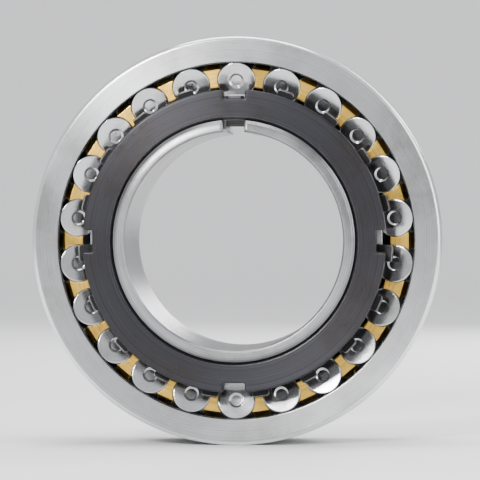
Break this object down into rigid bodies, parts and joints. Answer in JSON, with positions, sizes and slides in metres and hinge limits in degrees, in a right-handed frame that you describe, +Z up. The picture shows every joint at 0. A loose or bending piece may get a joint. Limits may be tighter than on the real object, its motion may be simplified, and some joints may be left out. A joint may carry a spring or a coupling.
{
  "type": "spherical roller bearing",
  "caption": "Self-aligning double-row roller bearing with a machined brass cage, on a split tapered adapter sleeve with tab washer and slotted lock nut, for a shaft in a bearing housing.",
  "frame": {"origin": "centre of the spherical raceway: on the bearing axis, halfway across the outer ring", "axes": "+Y along the bearing axis, from the lock nut's side to the large end of the taper; +Z up, through the sleeve's slot; +X to the right when the nut's side is looked at"},
  "size_m": [0.34, 0.15, 0.34],
  "materials": {
    "ground_steel": "hardened, ground",
    "roller_steel": "hardened, superfinished",
    "guide_iron": "turned, oiled",
    "cage_brass": "machined",
    "sleeve_steel": "turned and ground",
    "nut_steel": "black oxide",
    "washer_steel": "pressed, phosphated"
  },
  "bodies": {
    "outer_ring": {"outer_ring": "ground_steel"},
    "guide_ring": {"guide_ring": "guide_iron"},
    "inner_set": {"inner_ring": "ground_steel", "adapter_sleeve": "sleeve_steel", "lock_washer": "washer_steel", "lock_nut": "nut_steel"},
    "cage": {"cage": "cage_brass"},
    "roller_front_01": {"roller_front_01": "roller_steel"},
    "roller_front_02": {"roller_front_02": "roller_steel"},
    "roller_front_03": {"roller_front_03": "roller_steel"},
    "roller_front_04": {"roller_front_04": "roller_steel"},
    "roller_front_05": {"roller_front_05": "roller_steel"},
    "roller_front_06": {"roller_front_06": "roller_steel"},
    "roller_front_07": {"roller_front_07": "roller_steel"},
    "roller_front_08": {"roller_front_08": "roller_steel"},
    "roller_front_09": {"roller_front_09": "roller_steel"},
    "roller_front_10": {"roller_front_10": "roller_steel"},
    "roller_front_11": {"roller_front_11": "roller_steel"},
    "roller_front_12": {"roller_front_12": "roller_steel"},
    "roller_front_13": {"roller_front_13": "roller_steel"},
    "roller_front_14": {"roller_front_14": "roller_steel"},
    "roller_front_15": {"roller_front_15": "roller_steel"},
    "roller_front_16": {"roller_front_16": "roller_steel"},
    "roller_front_17": {"roller_front_17": "roller_steel"},
    "roller_front_18": {"roller_front_18": "roller_steel"},
    "roller_front_19": {"roller_front_19": "roller_steel"},
    "roller_front_20": {"roller_front_20": "roller_steel"},
    "roller_front_21": {"roller_front_21": "roller_steel"},
    "roller_front_22": {"roller_front_22": "roller_steel"},
    "roller_back_01": {"roller_back_01": "roller_steel"},
    "roller_back_02": {"roller_back_02": "roller_steel"},
    "roller_back_03": {"roller_back_03": "roller_steel"},
    "roller_back_04": {"roller_back_04": "roller_steel"},
    "roller_back_05": {"roller_back_05": "roller_steel"},
    "roller_back_06": {"roller_back_06": "roller_steel"},
    "roller_back_07": {"roller_back_07": "roller_steel"},
    "roller_back_08": {"roller_back_08": "roller_steel"},
    "roller_back_09": {"roller_back_09": "roller_steel"},
    "roller_back_10": {"roller_back_10": "roller_steel"},
    "roller_back_11": {"roller_back_11": "roller_steel"},
    "roller_back_12": {"roller_back_12": "roller_steel"},
    "roller_back_13": {"roller_back_13": "roller_steel"},
    "roller_back_14": {"roller_back_14": "roller_steel"},
    "roller_back_15": {"roller_back_15": "roller_steel"},
    "roller_back_16": {"roller_back_16": "roller_steel"},
    "roller_back_17": {"roller_back_17": "roller_steel"},
    "roller_back_18": {"roller_back_18": "roller_steel"},
    "roller_back_19": {"roller_back_19": "roller_steel"},
    "roller_back_20": {"roller_back_20": "roller_steel"},
    "roller_back_21": {"roller_back_21": "roller_steel"},
    "roller_back_22": {"roller_back_22": "roller_steel"}
  },
  "joints": [
    {"name": "swivel", "type": "hinge", "parent": "outer_ring", "child": "guide_ring", "pos_m": [0, 0, 0], "axis": [1, 0, 0], "range_deg": [-2.5, 2.5]},
    {"name": "inner_spin", "type": "hinge", "parent": "guide_ring", "child": "inner_set", "pos_m": [0, 0, 0], "axis": [0, 1, 0], "continuous": true},
    {"name": "cage_orbit", "type": "hinge", "parent": "guide_ring", "child": "cage", "pos_m": [0, 0, 0], "axis": [0, 1, 0], "continuous": true},
    {"name": "roller_front_01_spin", "type": "hinge", "parent": "cage", "child": "roller_front_01", "pos_m": [0, -0.02868, 0.13729], "axis": [0, 0.9789, 0.2045], "continuous": true},
    {"name": "roller_front_02_spin", "type": "hinge", "parent": "cage", "child": "roller_front_02", "pos_m": [-0.03868, -0.02868, 0.13173], "axis": [-0.0576, 0.9789, 0.1962], "continuous": true},
    {"name": "roller_front_03_spin", "type": "hinge", "parent": "cage", "child": "roller_front_03", "pos_m": [-0.07422, -0.02868, 0.11549], "axis": [-0.1106, 0.9789, 0.172], "continuous": true},
    {"name": "roller_front_04_spin", "type": "hinge", "parent": "cage", "child": "roller_front_04", "pos_m": [-0.10375, -0.02868, 0.0899], "axis": [-0.1545, 0.9789, 0.1339], "continuous": true},
    {"name": "roller_front_05_spin", "type": "hinge", "parent": "cage", "child": "roller_front_05", "pos_m": [-0.12488, -0.02868, 0.05703], "axis": [-0.186, 0.9789, 0.085], "continuous": true},
    {"name": "roller_front_06_spin", "type": "hinge", "parent": "cage", "child": "roller_front_06", "pos_m": [-0.13589, -0.02868, 0.01954], "axis": [-0.2024, 0.9789, 0.0291], "continuous": true},
    {"name": "roller_front_07_spin", "type": "hinge", "parent": "cage", "child": "roller_front_07", "pos_m": [-0.13589, -0.02868, -0.01954], "axis": [-0.2024, 0.9789, -0.0291], "continuous": true},
    {"name": "roller_front_08_spin", "type": "hinge", "parent": "cage", "child": "roller_front_08", "pos_m": [-0.12488, -0.02868, -0.05703], "axis": [-0.186, 0.9789, -0.085], "continuous": true},
    {"name": "roller_front_09_spin", "type": "hinge", "parent": "cage", "child": "roller_front_09", "pos_m": [-0.10375, -0.02868, -0.0899], "axis": [-0.1545, 0.9789, -0.1339], "continuous": true},
    {"name": "roller_front_10_spin", "type": "hinge", "parent": "cage", "child": "roller_front_10", "pos_m": [-0.07422, -0.02868, -0.11549], "axis": [-0.1106, 0.9789, -0.172], "continuous": true},
    {"name": "roller_front_11_spin", "type": "hinge", "parent": "cage", "child": "roller_front_11", "pos_m": [-0.03868, -0.02868, -0.13173], "axis": [-0.0576, 0.9789, -0.1962], "continuous": true},
    {"name": "roller_front_12_spin", "type": "hinge", "parent": "cage", "child": "roller_front_12", "pos_m": [0, -0.02868, -0.13729], "axis": [0, 0.9789, -0.2045], "continuous": true},
    {"name": "roller_front_13_spin", "type": "hinge", "parent": "cage", "child": "roller_front_13", "pos_m": [0.03868, -0.02868, -0.13173], "axis": [0.0576, 0.9789, -0.1962], "continuous": true},
    {"name": "roller_front_14_spin", "type": "hinge", "parent": "cage", "child": "roller_front_14", "pos_m": [0.07422, -0.02868, -0.11549], "axis": [0.1106, 0.9789, -0.172], "continuous": true},
    {"name": "roller_front_15_spin", "type": "hinge", "parent": "cage", "child": "roller_front_15", "pos_m": [0.10375, -0.02868, -0.0899], "axis": [0.1545, 0.9789, -0.1339], "continuous": true},
    {"name": "roller_front_16_spin", "type": "hinge", "parent": "cage", "child": "roller_front_16", "pos_m": [0.12488, -0.02868, -0.05703], "axis": [0.186, 0.9789, -0.085], "continuous": true},
    {"name": "roller_front_17_spin", "type": "hinge", "parent": "cage", "child": "roller_front_17", "pos_m": [0.13589, -0.02868, -0.01954], "axis": [0.2024, 0.9789, -0.0291], "continuous": true},
    {"name": "roller_front_18_spin", "type": "hinge", "parent": "cage", "child": "roller_front_18", "pos_m": [0.13589, -0.02868, 0.01954], "axis": [0.2024, 0.9789, 0.0291], "continuous": true},
    {"name": "roller_front_19_spin", "type": "hinge", "parent": "cage", "child": "roller_front_19", "pos_m": [0.12488, -0.02868, 0.05703], "axis": [0.186, 0.9789, 0.085], "continuous": true},
    {"name": "roller_front_20_spin", "type": "hinge", "parent": "cage", "child": "roller_front_20", "pos_m": [0.10375, -0.02868, 0.0899], "axis": [0.1545, 0.9789, 0.1339], "continuous": true},
    {"name": "roller_front_21_spin", "type": "hinge", "parent": "cage", "child": "roller_front_21", "pos_m": [0.07422, -0.02868, 0.11549], "axis": [0.1106, 0.9789, 0.172], "continuous": true},
    {"name": "roller_front_22_spin", "type": "hinge", "parent": "cage", "child": "roller_front_22", "pos_m": [0.03868, -0.02868, 0.13173], "axis": [0.0576, 0.9789, 0.1962], "continuous": true},
    {"name": "roller_back_01_spin", "type": "hinge", "parent": "cage", "child": "roller_back_01", "pos_m": [-0.01954, 0.02868, 0.13589], "axis": [0.0291, 0.9789, -0.2024], "continuous": true},
    {"name": "roller_back_02_spin", "type": "hinge", "parent": "cage", "child": "roller_back_02", "pos_m": [-0.05703, 0.02868, 0.12488], "axis": [0.085, 0.9789, -0.186], "continuous": true},
    {"name": "roller_back_03_spin", "type": "hinge", "parent": "cage", "child": "roller_back_03", "pos_m": [-0.0899, 0.02868, 0.10375], "axis": [0.1339, 0.9789, -0.1545], "continuous": true},
    {"name": "roller_back_04_spin", "type": "hinge", "parent": "cage", "child": "roller_back_04", "pos_m": [-0.11549, 0.02868, 0.07422], "axis": [0.172, 0.9789, -0.1106], "continuous": true},
    {"name": "roller_back_05_spin", "type": "hinge", "parent": "cage", "child": "roller_back_05", "pos_m": [-0.13173, 0.02868, 0.03868], "axis": [0.1962, 0.9789, -0.0576], "continuous": true},
    {"name": "roller_back_06_spin", "type": "hinge", "parent": "cage", "child": "roller_back_06", "pos_m": [-0.13729, 0.02868, 0], "axis": [0.2045, 0.9789, 0], "continuous": true},
    {"name": "roller_back_07_spin", "type": "hinge", "parent": "cage", "child": "roller_back_07", "pos_m": [-0.13173, 0.02868, -0.03868], "axis": [0.1962, 0.9789, 0.0576], "continuous": true},
    {"name": "roller_back_08_spin", "type": "hinge", "parent": "cage", "child": "roller_back_08", "pos_m": [-0.11549, 0.02868, -0.07422], "axis": [0.172, 0.9789, 0.1106], "continuous": true},
    {"name": "roller_back_09_spin", "type": "hinge", "parent": "cage", "child": "roller_back_09", "pos_m": [-0.0899, 0.02868, -0.10375], "axis": [0.1339, 0.9789, 0.1545], "continuous": true},
    {"name": "roller_back_10_spin", "type": "hinge", "parent": "cage", "child": "roller_back_10", "pos_m": [-0.05703, 0.02868, -0.12488], "axis": [0.085, 0.9789, 0.186], "continuous": true},
    {"name": "roller_back_11_spin", "type": "hinge", "parent": "cage", "child": "roller_back_11", "pos_m": [-0.01954, 0.02868, -0.13589], "axis": [0.0291, 0.9789, 0.2024], "continuous": true},
    {"name": "roller_back_12_spin", "type": "hinge", "parent": "cage", "child": "roller_back_12", "pos_m": [0.01954, 0.02868, -0.13589], "axis": [-0.0291, 0.9789, 0.2024], "continuous": true},
    {"name": "roller_back_13_spin", "type": "hinge", "parent": "cage", "child": "roller_back_13", "pos_m": [0.05703, 0.02868, -0.12488], "axis": [-0.085, 0.9789, 0.186], "continuous": true},
    {"name": "roller_back_14_spin", "type": "hinge", "parent": "cage", "child": "roller_back_14", "pos_m": [0.0899, 0.02868, -0.10375], "axis": [-0.1339, 0.9789, 0.1545], "continuous": true},
    {"name": "roller_back_15_spin", "type": "hinge", "parent": "cage", "child": "roller_back_15", "pos_m": [0.11549, 0.02868, -0.07422], "axis": [-0.172, 0.9789, 0.1106], "continuous": true},
    {"name": "roller_back_16_spin", "type": "hinge", "parent": "cage", "child": "roller_back_16", "pos_m": [0.13173, 0.02868, -0.03868], "axis": [-0.1962, 0.9789, 0.0576], "continuous": true},
    {"name": "roller_back_17_spin", "type": "hinge", "parent": "cage", "child": "roller_back_17", "pos_m": [0.13729, 0.02868, 0], "axis": [-0.2045, 0.9789, 0], "continuous": true},
    {"name": "roller_back_18_spin", "type": "hinge", "parent": "cage", "child": "roller_back_18", "pos_m": [0.13173, 0.02868, 0.03868], "axis": [-0.1962, 0.9789, -0.0576], "continuous": true},
    {"name": "roller_back_19_spin", "type": "hinge", "parent": "cage", "child": "roller_back_19", "pos_m": [0.11549, 0.02868, 0.07422], "axis": [-0.172, 0.9789, -0.1106], "continuous": true},
    {"name": "roller_back_20_spin", "type": "hinge", "parent": "cage", "child": "roller_back_20", "pos_m": [0.0899, 0.02868, 0.10375], "axis": [-0.1339, 0.9789, -0.1545], "continuous": true},
    {"name": "roller_back_21_spin", "type": "hinge", "parent": "cage", "child": "roller_back_21", "pos_m": [0.05703, 0.02868, 0.12488], "axis": [-0.085, 0.9789, -0.186], "continuous": true},
    {"name": "roller_back_22_spin", "type": "hinge", "parent": "cage", "child": "roller_back_22", "pos_m": [0.01954, 0.02868, 0.13589], "axis": [-0.0291, 0.9789, -0.2024], "continuous": true}
  ],
  "couplings": [
    {"joint": "cage_orbit", "follows": "inner_spin", "ratio": 0.43939},
    {"joint": "roller_front_01_spin", "follows": "inner_spin", "ratio": -3.9785},
    {"joint": "roller_front_02_spin", "follows": "inner_spin", "ratio": -3.9785},
    {"joint": "roller_front_03_spin", "follows": "inner_spin", "ratio": -3.9785},
    {"joint": "roller_front_04_spin", "follows": "inner_spin", "ratio": -3.9785},
    {"joint": "roller_front_05_spin", "follows": "inner_spin", "ratio": -3.9785},
    {"joint": "roller_front_06_spin", "follows": "inner_spin", "ratio": -3.9785},
    {"joint": "roller_front_07_spin", "follows": "inner_spin", "ratio": -3.9785},
    {"joint": "roller_front_08_spin", "follows": "inner_spin", "ratio": -3.9785},
    {"joint": "roller_front_09_spin", "follows": "inner_spin", "ratio": -3.9785},
    {"joint": "roller_front_10_spin", "follows": "inner_spin", "ratio": -3.9785},
    {"joint": "roller_front_11_spin", "follows": "inner_spin", "ratio": -3.9785},
    {"joint": "roller_front_12_spin", "follows": "inner_spin", "ratio": -3.9785},
    {"joint": "roller_front_13_spin", "follows": "inner_spin", "ratio": -3.9785},
    {"joint": "roller_front_14_spin", "follows": "inner_spin", "ratio": -3.9785},
    {"joint": "roller_front_15_spin", "follows": "inner_spin", "ratio": -3.9785},
    {"joint": "roller_front_16_spin", "follows": "inner_spin", "ratio": -3.9785},
    {"joint": "roller_front_17_spin", "follows": "inner_spin", "ratio": -3.9785},
    {"joint": "roller_front_18_spin", "follows": "inner_spin", "ratio": -3.9785},
    {"joint": "roller_front_19_spin", "follows": "inner_spin", "ratio": -3.9785},
    {"joint": "roller_front_20_spin", "follows": "inner_spin", "ratio": -3.9785},
    {"joint": "roller_front_21_spin", "follows": "inner_spin", "ratio": -3.9785},
    {"joint": "roller_front_22_spin", "follows": "inner_spin", "ratio": -3.9785},
    {"joint": "roller_back_01_spin", "follows": "inner_spin", "ratio": -3.9785},
    {"joint": "roller_back_02_spin", "follows": "inner_spin", "ratio": -3.9785},
    {"joint": "roller_back_03_spin", "follows": "inner_spin", "ratio": -3.9785},
    {"joint": "roller_back_04_spin", "follows": "inner_spin", "ratio": -3.9785},
    {"joint": "roller_back_05_spin", "follows": "inner_spin", "ratio": -3.9785},
    {"joint": "roller_back_06_spin", "follows": "inner_spin", "ratio": -3.9785},
    {"joint": "roller_back_07_spin", "follows": "inner_spin", "ratio": -3.9785},
    {"joint": "roller_back_08_spin", "follows": "inner_spin", "ratio": -3.9785},
    {"joint": "roller_back_09_spin", "follows": "inner_spin", "ratio": -3.9785},
    {"joint": "roller_back_10_spin", "follows": "inner_spin", "ratio": -3.9785},
    {"joint": "roller_back_11_spin", "follows": "inner_spin", "ratio": -3.9785},
    {"joint": "roller_back_12_spin", "follows": "inner_spin", "ratio": -3.9785},
    {"joint": "roller_back_13_spin", "follows": "inner_spin", "ratio": -3.9785},
    {"joint": "roller_back_14_spin", "follows": "inner_spin", "ratio": -3.9785},
    {"joint": "roller_back_15_spin", "follows": "inner_spin", "ratio": -3.9785},
    {"joint": "roller_back_16_spin", "follows": "inner_spin", "ratio": -3.9785},
    {"joint": "roller_back_17_spin", "follows": "inner_spin", "ratio": -3.9785},
    {"joint": "roller_back_18_spin", "follows": "inner_spin", "ratio": -3.9785},
    {"joint": "roller_back_19_spin", "follows": "inner_spin", "ratio": -3.9785},
    {"joint": "roller_back_20_spin", "follows": "inner_spin", "ratio": -3.9785},
    {"joint": "roller_back_21_spin", "follows": "inner_spin", "ratio": -3.9785},
    {"joint": "roller_back_22_spin", "follows": "inner_spin", "ratio": -3.9785}
  ]
}
